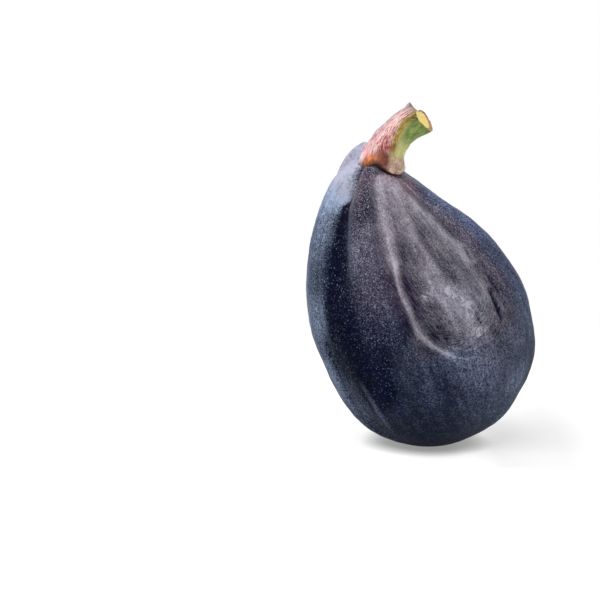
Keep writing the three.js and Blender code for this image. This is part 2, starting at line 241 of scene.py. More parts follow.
SKIN_ROWS = 260
SKIN_COLUMNS = 380
FRONT_DENSITY = 0.35  # how much closer the columns stand at the front than on average
CREASE_POINTS = 96
PROFILE_POINTS = 1201
NOISE_DECAY, NOISE_STEP, NOISE_OCTAVES = 1.0, 2.0, 3


def smooth(x, start, end):
    """Rises softly from 0 at start to 1 at end."""
    t = np.clip((x - start) / (end - start), 0, 1)
    return t * t * (3 - 2 * t)


def turn(start, end):
    return (end - start + 180) % 360 - 180


def bell(x):
    return np.exp(-x * x)


def circle(radius, angle):
    return radius * np.cos(np.radians(angle)), radius * np.sin(np.radians(angle))


def between(x, start, full, wane, end):
    """Rises softly from 0 at start to 1 at full, and falls back to 0 from wane to end."""
    return smooth(x, start, full) * (1 - smooth(x, wane, end))


def read(table, x, period=None):
    """A table's other columns, where its first is x."""
    return (np.interp(x, table[:, 0], column, period=period) for column in table.T[1:])


def through(values, place, before=None, after=None):
    """A smooth curve through rows of values, at a place that counts rows. before and after continue them."""
    values = np.asarray(values, float)
    before = values[0] if before is None else before
    after = values[-1] if after is None else after
    rows = np.concatenate([[before], values, [after]])
    place = np.asarray(place, float)
    index = np.clip(np.floor(place).astype(int), 0, len(values) - 2)
    f = place - index
    if values.ndim > 1:
        f = f[..., None]
    p0, p1, p2, p3 = (rows[index + k] for k in range(4))
    low = 2 * p1 + (p2 - p0) * f + (2 * p0 - 5 * p1 + 4 * p2 - p3) * f**2
    return 0.5 * (low + (3 * p1 - p0 - 3 * p2 + p3) * f**3)


def outline(station):
    """Height, radius, shift and lean at a station. The radius runs on through zero at both poles."""
    flip = np.array([1, -1, 1, 1])
    return np.moveaxis(through(OUTLINE, station, OUTLINE[1] * flip, OUTLINE[-2] * flip), -1, 0)


def relief(station, angle, radius):
    """How far the skin stands out of the plain outline, as the solid has it."""
    height = patched(station, angle, SWELLINGS)
    for path, width, rise in RIBS:
        stations, angles = np.array(path, float).T
        first, last = stations[0], stations[-1]
        fade = between(station, first - RIB_FADE, first + RIB_FADE, last - RIB_FADE, last + RIB_FADE)
        sideways = np.radians(turn(np.interp(station, stations, angles), angle)) * radius
        height += rise * fade * bell(sideways / (width * FRUIT_RADIUS))
    dimple = bell(radius / OSTIOLE_RADIUS) * (station < LAST_STATION / 2)
    return height * FRUIT_RADIUS - OSTIOLE_DEPTH * dimple


def unit(vectors):
    return vectors / np.linalg.norm(vectors, axis=-1, keepdims=True)


def outward(points):
    """The direction in which the skin swells: straight away from the core."""
    along = CORE[1] - CORE[0]
    share = np.clip((points - CORE[0]) @ along / (along @ along), 0, 1)
    return unit(points - CORE[0] - share[..., None] * along)


def plain_skin(station, angle):
    """Points of the plain outline, and its radius there."""
    station, angle = np.broadcast_arrays(np.asarray(station, float), np.asarray(angle, float))
    height, radius, shift, lean = outline(station)
    radius = radius * FRUIT_RADIUS
    lean = np.radians(lean)
    side = radius * np.sin(np.radians(angle))
    x = FRUIT_RADIUS * shift + side * np.cos(lean)
    y = -radius * np.cos(np.radians(angle))
    z = FRUIT_LENGTH * height - side * np.sin(lean)
    return np.stack([x, y, z], -1), radius


def skin(station, angle):
    points, radius = plain_skin(station, angle)
    station, angle = np.broadcast_arrays(station, angle)
    return points + outward(points) * relief(station, angle, radius)[..., None]


def spot(station, angle):
    return skin(np.array([station]), np.array([angle]))[0]


def crease(points, away, places, left, right, ends):
    """The profile of one crease at each point, 1 on its crest, from how far the point lies to either side."""
    places = np.array(places, float)
    station, angle = through(places, np.linspace(0, len(places) - 1, CREASE_POINTS)).T
    curve = skin(station, angle)
    along = unit(np.gradient(curve, axis=0))
    reach = 3 * max(left, right)
    near = np.all((points > curve.min(0) - reach) & (points < curve.max(0) + reach), axis=1)
    close = points[near]
    nearest = ((close**2).sum(1)[:, None] + (curve**2).sum(1) - 2 * close @ curve.T).argmin(1)
    side = np.cross(along[nearest], away[near])
    across = ((close - curve[nearest]) * side).sum(1)
    share = nearest / (len(curve) - 1)
    fade = between(share, 0, ends, 1 - ends, 1)
    profile = np.zeros(len(points))
    profile[near] = fade * bell(across / np.where(across < 0, left, right))
    return profile


def noise_at(points, scale, seed):
    """Smooth noise, about -1 to 1, at points in millimetres. scale is the size of its lumps."""
    offset = Vector((seed, 2.3 * seed, 5.1 * seed))
    places = (Vector(p) / scale + offset for p in points.reshape(-1, 3))
    values = [noise.fractal(place, NOISE_DECAY, NOISE_STEP, NOISE_OCTAVES) for place in places]
    return np.array(values).reshape(points.shape[:-1])


def stand(points):
    """Leans the fig over, as it stands."""
    a, b = math.radians(LEAN_LEFT), math.radians(LEAN_FORWARD)
    forward = np.array([[1, 0, 0], [0, math.cos(b), -math.sin(b)], [0, math.sin(b), math.cos(b)]])
    left = np.array([[math.cos(a), 0, -math.sin(a)], [0, 1, 0], [math.sin(a), 0, math.cos(a)]])
    return points @ (left @ forward).T


def place_in_scene(name, data):
    thing = bpy.data.objects.new(name, data)
    bpy.context.collection.objects.link(thing)
    return thing


def ring_mesh(name, surfaces):
    """One mesh of closed surfaces. Each is a grid of rings between two poles, which are its end rows, and a
    value at each of its points for each named attribute."""
    vertices, faces, attributes, count = [], [], {}, 0
    for grid, values in surfaces:
        rows, columns = grid.shape[:2]
        keep = np.ones((rows, columns), bool)
        keep[[0, -1], 1:] = False
        index = count + np.cumsum(keep).reshape(rows, columns) - 1
        index[0], index[-1] = index[0, 0], index[-1, 0]
        following = np.roll(index, -1, axis=1)
        quads = np.stack([index[:-1], following[:-1], following[1:], index[1:]], -1)
        faces += quads[1:-1].reshape(-1, 4).tolist()
        faces += quads[0][:, [0, 2, 3]].tolist() + quads[-1][:, [0, 1, 2]].tolist()
        vertices.append(grid[keep])
        for key, value in values.items():
            attributes.setdefault(key, []).append(value[keep])
        count += keep.sum()
    mesh = bpy.data.meshes.new(name)
    mesh.from_pydata(np.concatenate(vertices).tolist(), [], faces)
    mesh.shade_smooth()
    for key, values in attributes.items():
        values = np.concatenate(values)
        kind, field = ("FLOAT", "value") if values.ndim == 1 else ("FLOAT_VECTOR", "vector")
        layer = mesh.attributes.new(key, kind, "POINT")
        layer.data.foreach_set(field, values.astype(np.float32).ravel())
    return place_in_scene(name, mesh)


def even_stations(rows):
    """Stations that stand evenly along the skin's profile."""
    fine = np.linspace(0, LAST_STATION, PROFILE_POINTS)
    profile, _ = plain_skin(fine, 90.0)
    length = np.concatenate([[0], np.cumsum(np.linalg.norm(np.diff(profile, axis=0), axis=1))])
    return np.interp(np.linspace(0, length[-1], rows), length, fine)


# -------- the skin
def build_skin():
    turns = np.linspace(-180, 180, SKIN_COLUMNS, endpoint=False)
    angles = turns - np.degrees(FRONT_DENSITY * np.sin(np.radians(turns)))
    station, angle = np.broadcast_arrays(even_stations(SKIN_ROWS)[:, None], angles[None, :])
    base = skin(station, angle)
    away = outward(base)
    points, outs = base.reshape(-1, 3), away.reshape(-1, 3)
    fine = np.zeros(len(points))
    powder = powder_and_painted_light_at(points)
    for places, left, right, height, tone, ends in FOLDS:
        profile = crease(points, outs, places, left, right, ends)
        fine += height * profile
        powder += tone * profile
    fine += vein_heights(points, outs)
    lumps = sum(height * noise_at(points, size, seed) for height, size, seed in LUMPS)
    under_stem = smooth(station, 11.9, 12.6).ravel()
    lift = fine * (1 - under_stem) + lumps + patched(station, angle, MOUNDS).ravel()
    for at, around, reach, height in TRIMS:
        lift += height * bell(from_place(points, at, around) / reach)
    grid = (points + outs * lift[:, None]).reshape(base.shape)
    masks = skin_masks(station, angle, powder, base)
    return grid, masks


VEIN_COUNT = 46
VEIN_FADE = 0.35  # the share of its length over which each end dies out


def vein_heights(points, outs):
    """Faint narrow ribs and grooves that run down the fruit all the way round."""
    rng = np.random.default_rng(7)
    total = np.zeros(len(points))
    for k in range(VEIN_COUNT):
        angle = 360 * (k + rng.uniform(-0.35, 0.35)) / VEIN_COUNT
        top, bottom = rng.uniform(8.5, 11.6), rng.uniform(2.0, 6.0)
        bend = rng.uniform(-5, 5)
        upper, lower = (2 * top + bottom) / 3, (top + 2 * bottom) / 3
        places = [(top, angle), (upper, angle + bend), (lower, angle + bend), (bottom, angle)]
        width = rng.uniform(0.35, 0.8)
        height = rng.uniform(0.03, 0.11) * rng.choice([1, 1, -1])
        total += height * crease(points, outs, places, width, width, VEIN_FADE)
    return total


def patch(station, angle, at, around, reach, half_width):
    """A soft patch, 1 at its middle."""
    return bell((station - at) / reach) * bell(turn(around, angle) / half_width)


def patched(station, angle, table):
    """Soft patches, each with its strength."""
    return sum(strength * patch(station, angle, *place) for *place, strength in table)


def from_place(points, station, angle):
    """How far points are from a place on the skin, in millimetres."""
    return np.linalg.norm(points - spot(station, angle), axis=-1)


def powder_and_painted_light_at(points):
    """How powdery the skin is at each point, apart from its folds, with the painted light and shade of TONES.
    """
    total = np.full(len(points), BARE_WEIGHT)
    amount = total * BARE_TONE
    for station, angle, reach, tone in TONES:
        weight = bell(from_place(points, station, angle) / reach)
        total += weight
        amount += weight * tone
    return amount / total


# The hollow between the left side and the front face, painted black as shade: no powder and a darker bare
# skin.
# Station, angle of its left and its right edge.
SHADED_HOLLOW = np.array([
    (3.4, -56, -44), (4.4, -57, -39), (5.3, -58, -35), (6.4, -58, -33), (7.2, -58, -36), (7.8, -58, -39),
    (8.3, -58, -40), (9.0, -58, -42), (9.6, -59, -45), (10.0, -51, -45), (10.5, -45, -43), (11.0, -50, -48),
])
# Chalky spots on the cheek: station, angle.
FLECKS = [(6.9, 22), (6.7, 27), (6.45, 29), (6.15, 28), (5.9, 27), (5.65, 27.5), (7.0, 10)]
FLECK_REACH = 1.1
# Soft patches of colour: station, angle, reach in stations, half-width in degrees, strength.
ROSY = [
    (11.4, 28, 0.5, 18, 1.0), (10.3, 46, 0.6, 10, 0.4), (10.5, 62, 0.9, 16, 0.6), (10.7, -43, 0.8, 7, 0.5),
]
PLUM = [
    (8.4, 5, 2.2, 34, 0.5), (7.3, -16, 0.8, 16, 0.4), (4.6, 40, 1.2, 25, 0.45), (9.0, -24, 1.6, 20, 0.4),
]
BLUE = [(6.8, -20, 0.7, 26, 1.0), (4.9, 8, 0.8, 18, 0.8)]
SWIRL = (7.2, 22)  # the fine hairs of the cheek's lower part run round this place
SWIRL_RADIUS = 9  # the radius in millimetres at which a hair's length round it is true
FLOW_RADIUS = 22  # the same for the streaks round the fruit
FLOW_STEP = 0.8  # and their length for each station


def skin_masks(station, angle, powder, points):
    """Where the skin has each of its looks, from 0 to 1, and the coordinates that its streaks follow."""
    collar = smooth(station, 9.2, 11) * smooth(angle, -56, -44)
    band_angle = np.interp(station, [6, 8, 9, 11], [57, 61, 60, 52])
    right_band = bell(turn(band_angle, angle) / 9) * smooth(station, 5.2, 6.8)
    plum = right_band + collar + 0.5 * smooth(np.abs(angle), 80, 120)
    left_face = between(angle, -50, -40, -15, -2) * smooth(station, 5.2, 8.4)
    left_side = between(angle, -100, -75, -50, -40) * smooth(station, 1.5, 4)
    dust = 0.22 + left_face * (0.5 + 0.15 * smooth(station, 8.5, 10)) + 0.28 * left_side + 0.5 * right_band
    dust = np.clip(dust + 0.1 * patch(station, angle, 6.5, -25, 1.6, 30), 0, 1)
    cheek = between(angle, -13, -4, 46, 60) * smooth(station, 5.2, 5.95)
    # painted shade in the hollow: it takes the powder away, thins the dust and darkens the bare skin
    left_edge, right_edge = read(SHADED_HOLLOW, station)
    softness = np.interp(station, [8.5, 10.2], [5, 1.6])
    hollow = between(angle, left_edge - softness, left_edge + softness, right_edge - 4, right_edge + 5)
    hollow *= between(station, 4, 5.6, 11, 11.8)
    lobe = smooth(station, 9.4, 10.6) * (1 - smooth(angle, -62, -44))
    upper_face = 0.5 * (smooth(station, 6.6, 8.6) + smooth(station, 8.6, 10)) * bell(turn(-22, angle) / 26)
    warm = cheek * (1 - 0.2 * patch(station, angle, 6.5, 30, 0.9, 14)) + 0.8 * right_band
    warm += 0.5 * patch(station, angle, 5.3, 38, 0.5, 16) + 0.62 * lobe + upper_face + collar
    from_middle = points - spot(*SWIRL)
    round_it = np.arctan2(from_middle[..., 0], -from_middle[..., 2])
    return {
        "powder": powder.reshape(station.shape) * (1 - hollow),
        "plum": np.clip(plum + patched(station, angle, PLUM), 0, 1),
        "warm": np.clip(warm, 0, 1),
        "hollow": hollow,
        "blue": np.clip(patched(station, angle, BLUE), 0, 1),
        "dust": dust * (1 - 0.7 * cheek * (1 - smooth(station, 10, 11.4))) * (1 - 0.45 * hollow),
        "rosy": np.clip(patched(station, angle, ROSY), 0, 1),
        "right": smooth(angle, 20, 45),
        "away": smooth(np.abs(angle), 84, 115) * (1 - lobe),
        "bluish": between(angle, 60, 73, 100, 125) * between(station, 4.6, 6.4, 9.3, 10.3),
        "cheek": cheek * (1 - smooth(station, 9.8, 11)),
        "swirl": bell(from_place(points, 6.1, 30) / 9) * smooth(angle, -8, 2),
        "flecks": sum(bell(from_place(points, *place) / FLECK_REACH) for place in FLECKS),
        "flow": np.stack([*circle(FLOW_RADIUS, angle), FLOW_STEP * station], -1),
        "rings": np.stack([np.linalg.norm(from_middle, axis=-1), SWIRL_RADIUS * round_it, 0 * angle], -1),
    }


# -------- the stem
STEM_COLUMNS = 180
COLLAR_ROWS = 46
SHAFT_ROWS = 70
COLLAR_TOP = 0.36  # the place along the stem where its close rows end
COLLAR_DEPTH = 0.16  # how far below its edge the collar begins, as a share of the stem
CUT_RINGS = np.array([0.985, 0.95, 0.9, 0.85, 0.8, 0.76, 0.72, 0.68, 0.6, 0.5, 0.4, 0.3, 0.2, 0.1, 0.0])

# The collar's lower edge round the stem: angle, its place along the stem, how far its lobe stands out in
# millimetres.
COLLAR = np.array([
    (-150, 0.19, 0.2), (-112, 0.19, -0.3), (-88, 0.18, -0.35), (-68, 0.175, -0.05), (-50, 0.2, 0.05),
    (-30, 0.25, -0.3), (-14, 0.265, -0.35), (4, 0.245, -0.1), (20, 0.2, 0.3), (38, 0.165, 0.55),
    (60, 0.155, 0.55), (82, 0.185, 0.25), (104, 0.2, -0.1), (128, 0.17, 0.35), (158, 0.17, 0.4),
    (184, 0.2, 0.0), (210, 0.19, 0.2),
])

# The ridge between the stem's two front faces winds round it: place along the stem, angle.
STEM_RIDGE = np.array([
    (0.0, 8), (0.4, 3), (0.5, 2), (0.6, 0), (0.7, -9), (0.78, -18), (0.85, -27), (0.94, -39), (1.0, -45),
])
# Swellings and dents of the stem: place along it, angle, reach, half-width in degrees, height in millimetres.
STEM_SWELLINGS = [(0.3, -20, 0.09, 9, -0.35), (0.55, 85, 0.15, 40, 0.55), (0.6, -90, 0.16, 45, -0.3)]
CUT_TILT = 0.3  # how much further the front of the cut end reaches, in millimetres
TIP_REACH = 0.5  # how far the cut end stands past the axis's end
STEM_TWIST = 90  # how far the dashes on the stem wind round it

# The cut end is pinched beside a flap of skin at its left: angle, and how far it stands out and along, in
# millimetres.
TIP = np.array([
    (-150, -1.75, -0.1), (-130, -1.2, -0.5), (-112, 0.15, -0.5), (-92, 0.5, -0.05), (-76, -0.25, 0.15),
    (-60, -1.0, 0.35), (-42, -1.25, 0.15), (-20, -0.5, 0.1), (0, 0.0, 0.05), (50, 0.0, 0.1), (80, 0.0, 0.1),
    (110, 0.35, 0.0), (130, 0.5, 0.0), (150, 0.4, -0.1), (170, 0.0, 0.0), (190, -1.0, 0.0),
])
FLAP_ANGLE = -94


def stem_axis(share):
    """Points of the stem's axis, and the directions along it, to its right and to its front."""
    foot = spot(LAST_STATION, 0.0)
    path = STEM_PATH[:, :3] * STEM_LENGTH + foot
    last = len(path) - 1

    def at(t):
        return through(path, t * last, 2 * path[0] - path[1], 2 * path[-1] - path[-2])

    along = unit(at(share + 1e-4) - at(share - 1e-4))
    right = unit(np.cross([0, 1, 0], along))
    return at(share), along, right, np.cross(right, along)


def build_stem():
    """Rings up over the stem's collar and side and in over its cut end, and their masks."""
    angle = np.linspace(-180, 180, STEM_COLUMNS, endpoint=False)
    edge, lobe = read(COLLAR, angle, 360)
    start = edge - COLLAR_DEPTH
    collar = start + (COLLAR_TOP - start) * np.linspace(0, 1, COLLAR_ROWS)[:, None]
    shaft = COLLAR_TOP + (1 - COLLAR_TOP) * np.linspace(0, 1, SHAFT_ROWS + 1)[1:, None]
    side = np.concatenate([collar, np.broadcast_to(shaft, (SHAFT_ROWS, STEM_COLUMNS))])
    share = np.concatenate([np.zeros((1, STEM_COLUMNS)), side, np.ones((len(CUT_RINGS), STEM_COLUMNS))])
    inward = np.concatenate([[0], np.ones(len(side)), CUT_RINGS])[:, None] * np.ones(STEM_COLUMNS)
    angle = np.broadcast_to(angle, share.shape)

    ridge = turn(*read(STEM_RIDGE, share), angle)
    centre, along, right, front = stem_axis(share)
    radius = through(STEM_PATH[:, 3] * STEM_RADIUS, share * (len(STEM_PATH) - 1))
    radius = radius * (1 + STEM_SIDE_DEPTH * np.cos(np.radians(STEM_SIDES * ridge)))
    above = (share - edge) / 0.1
    lip = np.where(above > 0, np.exp(-(above / 1.7) ** 2), bell(above / 0.16))
    radius += lobe * lip - 1.1 * (above < 0) * (1 - bell(above / 0.35))
    radius += patched(share, angle, STEM_SWELLINGS) + 0.16 * bell(ridge / 12) * smooth(share, 0.25, 0.45)
    flow = np.stack([*circle(STEM_RADIUS * inward, angle), share * STEM_LENGTH], -1)
    fibres = noise_at(flow * (1.6, 1.6, 0.22), 1, 4)
    knots = noise_at(flow, 1.6, 8)
    on_side = smooth(inward, 0.9, 1)
    radius += on_side * (0.13 * fibres + 0.12 * knots * (1 + 1.5 * (1 - smooth(share, 0.3, 0.5))))

    pinch, reach = read(TIP, angle, 360)
    near_tip = smooth(share, 0.87, 1)
    radius += pinch * near_tip
    pith_edge = 0.79 + 0.08 * np.cos(np.radians(angle + 20)) - 0.5 * bell(turn(FLAP_ANGLE, angle) / 36)
    pith = smooth(inward, pith_edge + 0.03, pith_edge - 0.03)
    tilt = CUT_TILT * np.cos(np.radians(angle - 10)) * inward
    hollow = -0.2 * smooth(inward, 1, 0.93) + 0.15 * pith + 0.05 * knots
    end = near_tip * (TIP_REACH + tilt + reach * smooth(inward, 0.5, 1))
    end += (share == 1) * (inward < 1) * hollow
    to_front, to_right = circle(radius * inward, angle)
    points = centre + along * end[..., None] + right * to_right[..., None] + front * to_front[..., None]

    left_lobe = bell(turn(-78, angle) / 34) * (1 - smooth(share, 0.3, 0.44))
    cut_end = (share == 1) * smooth(1 - inward, 0, 0.02)
    at_left = bell(turn(-64, angle) / 34)
    above_edge = share - edge
    ember = 1.2 * patch(above_edge - 0.025 * at_left, angle, 0.04, -46, 0.055, 25)
    # painted shade down the stem's left edge: greyer, darker mauve
    mauve = bell(turn(-104, angle) / 34) * smooth(share, 0.34, 0.5)
    masks = {
        "green": between(ridge, -8, 14, 150, 175) * smooth(share, 0.28, 0.42),
        "depth": smooth(share, 0.52, 0.88) * smooth(ridge, 5, 40),
        "ridge": bell((ridge - 8) / 15) * smooth(share, 0.3, 0.5),
        "foot": (1 - smooth(share, 0.26, 0.46)) * (1 - left_lobe),
        # the left lobe's pale pink: its own colour, with a painted highlight on it
        "blush": left_lobe,
        "ember": np.minimum(ember, 1),
        "wine": np.minimum(1.2 * bell((share - 0.46) / 0.15) * bell((ridge + 20) / 21), 1),
        "mauve": mauve + 0.4 * patch(share, angle, 0.4, -62, 0.07, 24),
        "brown": np.minimum(1.5 * patch(share, angle, 0.32, -8, 0.08, 19), 1),
        # lip: painted shadow, a dark line along the collar's edge where it meets the skin
        "lip": 1 - smooth(above_edge, 0, 0.02 + 0.105 * at_left),
        "rim": patch(above_edge, angle, 0.03, 80, 0.07, 30),
        "tip": near_tip * between(turn(-76, angle), -60, -20, 10, 40) * (1 - cut_end),
        # painted shade on the front, just below the cut end
        "dusk": smooth(share, 0.86, 0.98) * bell(turn(-24, angle) / 20) * (1 - cut_end),
        "cut": cut_end * (1 - pith),
        "pith": (share == 1) * pith,
        "flow": flow,
        "twist": np.stack([*circle(STEM_RADIUS, angle + STEM_TWIST * share), share * STEM_LENGTH], -1),
    }
    return points, masks


# -------- the scales of the ostiole
# Count, distance out, length, width and height, which also turns the ring.
SCALE_RINGS = [(7, 1.75, 1.45, 0.95, 0.0), (5, 1.0, 1.05, 0.75, 0.25)]
SCALE_THICKNESS = 0.32
SCALE_CLEARANCE = 0.35  # how far the lower ring stands out of the dimple


def build_scales():
    """Closed, pointed scales in two rings, which overlap and point to the middle."""
    middle = spot(0.0, 0.0)
    out = outward(middle[None])[0]
    side = unit(np.cross(out, [0, 1, 0]))
    up = np.cross(out, side)
    polar = np.linspace(0, np.pi, 15)[:, None]
    around = np.linspace(0, 2 * np.pi, 28, endpoint=False)
    rng = np.random.default_rng(3)
    for count, distance, length, width, height in SCALE_RINGS:
        for k in range(count):
            heading = 2 * np.pi * (k + rng.uniform(-0.12, 0.12)) / count + height
            x = np.cos(polar) * np.ones_like(around)
            taper = np.sqrt(np.clip(1 - x, 0, 2)) * 0.8
            y = np.sin(polar) * np.cos(around) * taper
            z = np.sin(polar) * np.sin(around)
            toward = x * length * rng.uniform(0.92, 1.05)
            across = y * width * rng.uniform(0.92, 1.05)
            curl = 0.16 * toward - 0.12 * across**2 + 0.12 * across
            lift = z * SCALE_THICKNESS / 2 + SCALE_CLEARANCE + height + curl
            radial = distance - toward
            a = radial * np.cos(heading) - across * np.sin(heading)
            b = radial * np.sin(heading) + across * np.cos(heading)
            grid = middle + side * a[..., None] + up * b[..., None] + out * lift[..., None]
            point = np.clip(toward / length * 0.5 + 0.5, 0, 1)
            yield grid, {"point": point, "shade": np.full(x.shape, rng.uniform(0, 1))}


# -------- materials
class Nodes:
    """A small helper that builds the node tree of a material or a world."""

    def __init__(self, owner):
        owner.use_nodes = True
        self.owner = owner
        self.tree = owner.node_tree
        self.tree.nodes.clear()

    def add(self, kind, inputs=(), **settings):
        node = self.tree.nodes.new("ShaderNode" + kind)
        for key, value in settings.items():
            setattr(node, key, value)
        for key, value in dict(inputs).items():
            socket = node.inputs[key]
            if isinstance(value, bpy.types.NodeSocket):
                self.tree.links.new(value, socket)
            else:
                socket.default_value = value
        return node

    def out(self, kind, inputs=(), **settings):
        """The first output of a new node."""
        return self.add(kind, inputs, **settings).outputs[0]

    def mask(self, name, output="Fac"):
        """A value of the mesh, or with the output Vector its coordinates of that name."""
        return self.add("Attribute", attribute_name=name).outputs[output]

    def place(self):
        """Where a point is, in millimetres."""
        return self.stretched(self.add("TexCoord").outputs["Object"], (1 / MM,) * 3)

    def seen(self):
        """1 for what the camera sees, also in reflections and through glass, and 0 for light."""
        rays = self.add("LightPath").outputs
        direct = self.math("MAXIMUM", rays["Is Camera Ray"], rays["Is Transmission Ray"])
        return self.math("MAXIMUM", direct, rays["Is Glossy Ray"])

    def math(self, operation, a, b, clamp=False):
        return self.out("Math", {0: a, 1: b}, operation=operation, use_clamp=clamp)

    def times(self, a, b, clamp=False):
        return self.math("MULTIPLY", a, b, clamp)

    def plus(self, a, b, clamp=False):
        return self.math("ADD", a, b, clamp)

    def stretched(self, vector, scale):
        return self.out("VectorMath", {0: vector, 1: scale}, operation="MULTIPLY")

    def noise(self, vector, scale, detail, roughness):
        values = {"Vector": vector, "Scale": scale, "Detail": detail, "Roughness": roughness}
        return self.out("TexNoise", values)

    def turned(self, vector, angle, scale):
        """Coordinates turned about Y, so that X climbs to the right at the angle, then scaled."""
        inputs = {"Vector": vector, "Rotation": (0.0, math.radians(angle), 0.0)}
        return self.stretched(self.out("VectorRotate", inputs, rotation_type="EULER_XYZ"), scale)

    def specks(self, vector, scale, smallest, largest):
        """Round specks of mixed size and brightness."""
        cells = self.add("TexVoronoi", {"Vector": vector, "Scale": scale})
        chance = self.add("SeparateColor", {"Color": cells.outputs["Color"]})
        size = self.ramp(chance.outputs[0], 0.0, 1.0, smallest, largest)
        edge = self.math("DIVIDE", cells.outputs["Distance"], size)
        bright = self.math("POWER", chance.outputs[1], 1.4)
        return self.times(self.ramp(edge, 0.7, 1.2, 1.0, 0.0), bright)

    def ramp(self, value, low, high, to_low=0.0, to_high=1.0):
        values = {"Value": value, "From Min": low, "From Max": high, "To Min": to_low, "To Max": to_high}
        return self.out("MapRange", values, clamp=True)

    def mix(self, factor, *colours):
        a, b = ((*colour, 1.0) if isinstance(colour, tuple) else colour for colour in colours)
        return self.add("Mix", {0: factor, 6: a, 7: b}, data_type="RGBA").outputs[2]

    def tint(self, colour, pattern, low, high, other, strength=1.0):
        """A colour that gives way to another where a pattern is high."""
        return self.mix(self.ramp(pattern, low, high, to_high=strength), colour, other)

    def bump(self, height, distance, strength):
        return self.out("Bump", {"Height": height, "Distance": distance, "Strength": strength})

    def finish(self, shader, output="OutputMaterial"):
        self.add(output, {"Surface": shader})
        return self.owner


def skin_material():
    n = Nodes(bpy.data.materials.new("fig_skin"))
    place = n.place()
    flow, rings = n.mask("flow", "Vector"), n.mask("rings", "Vector")
    powder, plum, dust, cheek, swirl, warm = map(n.mask, "powder plum dust cheek swirl warm".split())

    mottle = n.noise(place, 0.28, 5, 0.6)
    rubbed = n.noise(n.turned(place, -55, (0.4, 0.6, 0.75)), 1, 3, 0.55)
    clouds = n.noise(place, 0.12, 3, 0.5)
    tint = n.noise(place, 0.45, 4, 0.6)
    grain = n.noise(place, 2.6, 3, 0.7)
    fine_grain = n.noise(place, 4.2, 2, 0.7)
    streaks = n.noise(flow, 0.8, 5, 0.6)
    falling = n.noise(n.turned(place, -50, (0.45, 1, 5)), 1, 3, 0.6)
    ringed = n.noise(n.stretched(rings, (4.6, 0.5, 1)), 1, 3, 0.6)
    hairs = n.ramp(n.mix(swirl, falling, ringed), 0.44, 0.62, -0.7, 1.3)

    navy = n.tint((0.0018, 0.0044, 0.013), mottle, 0.38, 0.62, (0.0028, 0.0054, 0.026))
    navy = n.mix(n.mask("blue"), navy, (0.002, 0.0034, 0.027))
    # painted shade: the bare skin is darker in the hollow
    navy = n.mix(n.times(n.mask("hollow"), 0.7), navy, (0.001, 0.0014, 0.0095))
    navy = n.tint(navy, grain, 0.54, 0.66, (0.019, 0.027, 0.05))
    plum = n.times(plum, n.ramp(clouds, 0.35, 0.55, to_low=0.4))
    bare = n.mix(plum, navy, n.mix(n.mask("bluish"), (0.026, 0.014, 0.034), (0.018, 0.014, 0.045)))
    bare = n.mix(n.mask("rosy"), bare, (0.08, 0.03, 0.05))
    warm_bloom = n.tint((0.49, 0.485, 0.56), tint, 0.42, 0.58, (0.54, 0.495, 0.575))
    warm_bloom = n.mix(n.times(plum, 0.5), warm_bloom, (0.58, 0.46, 0.58))
    warm_bloom = n.mix(n.mask("rosy"), warm_bloom, (0.64, 0.45, 0.54))
    bloom = n.mix(warm, n.mix(plum, (0.38, 0.47, 0.67), (0.42, 0.45, 0.68)), warm_bloom)
    bloom = n.mix(n.mask("bluish"), bloom, (0.37, 0.43, 0.71))
    # the powder, with the painted light and shade laid into it, lies in streaks and rubbed patches, and in a
    # grain that is finest where it is thick
    cover = n.times(powder, n.ramp(streaks, 0.35, 0.65, 0.78, 1.05))
    cover = n.times(cover, n.ramp(clouds, 0.4, 0.6, 0.9, 1.1))
    bands = n.noise(n.stretched(flow, (0.2, 0.2, 0.09)), 1, 3, 0.5)
    bands = n.times(n.ramp(bands, 0.38, 0.62, -0.55, 0.3), n.mask("away"))
    cover = n.times(cover, n.plus(1, bands))
    thin = n.times(n.ramp(mottle, 0.35, 0.65, 0.01, 0.07), n.ramp(streaks, 0.4, 0.6))
    thin = n.times(thin, n.ramp(fine_grain, 0.42, 0.62, to_high=2.2))
    cover = n.plus(cover, n.times(thin, n.ramp(powder, 0, 0.05)))
    cover = n.times(cover, n.ramp(rubbed, 0.47, 0.53, 0.86, 1.12))
    broken = n.ramp(n.noise(place, 0.9, 3, 0.6), 0.46, 0.58, to_high=0.75)
    cover = n.plus(cover, n.times(n.mask("flecks"), broken))
    coarse_part = n.ramp(grain, 0.38, 0.62, -0.65, 0.65)
    fine_part = n.ramp(fine_grain, 0.38, 0.62, -0.6, 0.6)
    depth = n.ramp(powder, 0.3, 1, 1, 0.22)
    depth = n.times(depth, n.ramp(cheek, 0, 1, 1, 0.55))
    cover = n.times(cover, n.plus(1, n.times(n.plus(coarse_part, fine_part), depth)))
    hairy = n.plus(n.times(cheek, 0.06), n.times(swirl, 0.09))
    cover = n.plus(cover, n.times(hairs, hairy), clamp=True)
    colour = n.mix(cover, bare, bloom)

    # where it is thin it lies in short strokes and specks
    at_left, at_right = (n.turned(place, angle, (2.2, 4, 4.6)) for angle in (-35, -55))
    along = n.mix(n.mask("right"), at_left, at_right)
    strokes = n.ramp(n.noise(along, 1, 2, 0.6), 0.56, 0.68)
    specks = n.specks(n.turned(place, -35, (0.75, 1, 1.3)), 3, 0.1, 0.42)
    fine_specks = n.times(n.specks(place, 4, 0.2, 0.5), n.ramp(dust, 0.1, 0.5, 0.12, 0.45))
    specks = n.plus(n.times(specks, 0.85), fine_specks)
    specks = n.ramp(specks, n.ramp(dust, 0, 0.4, 0.6, 0), 1)
    specks = n.plus(specks, n.times(strokes, n.ramp(dust, 0.25, 0.9, to_high=0.65)), clamp=True)
    speck_colour = n.mix(dust, (0.075, 0.13, 0.22), n.mix(plum, (0.46, 0.52, 0.64), (0.56, 0.5, 0.6)))
    colour = n.mix(specks, colour, speck_colour)

